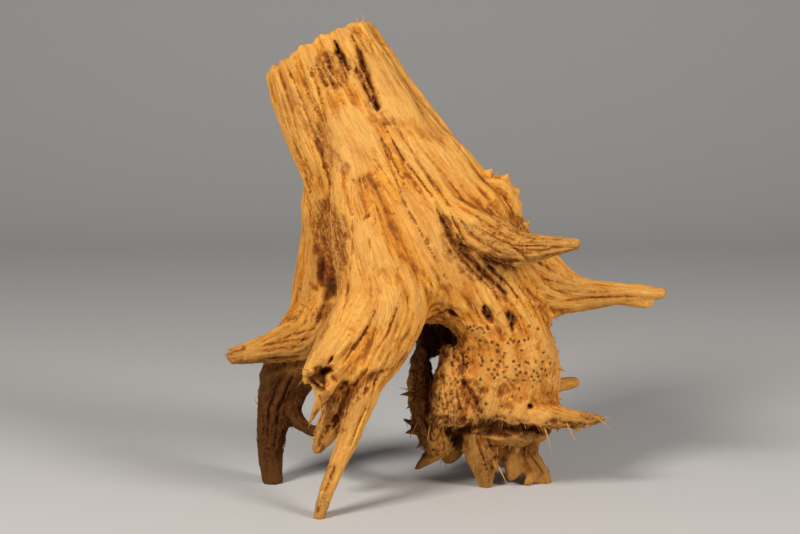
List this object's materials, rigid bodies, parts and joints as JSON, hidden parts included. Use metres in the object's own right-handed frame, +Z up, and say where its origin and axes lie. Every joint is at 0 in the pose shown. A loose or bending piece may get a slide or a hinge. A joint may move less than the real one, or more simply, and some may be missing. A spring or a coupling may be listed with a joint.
{
  "type": "driftwood root",
  "caption": "Bleached conifer root stump for an aquarium: a leaning fluted trunk with a ragged top, splayed broken roots, a thorny burl and an arch between its feet.",
  "frame": {"origin": "on the surface the root stands on, under the middle of its extents", "axes": "+Z up; +X along the long root, to the right in the usual view; +Y to the back, through the root's thin direction"},
  "size_m": [0.3954, 0.2132, 0.424],
  "materials": {
    "bleached_wood": "dry, bleached and sandblasted softwood, matt, honey yellow with red-brown cracks and pits"
  },
  "bodies": {
    "root": {"driftwood_root": "bleached_wood"}
  },
  "joints": []
}
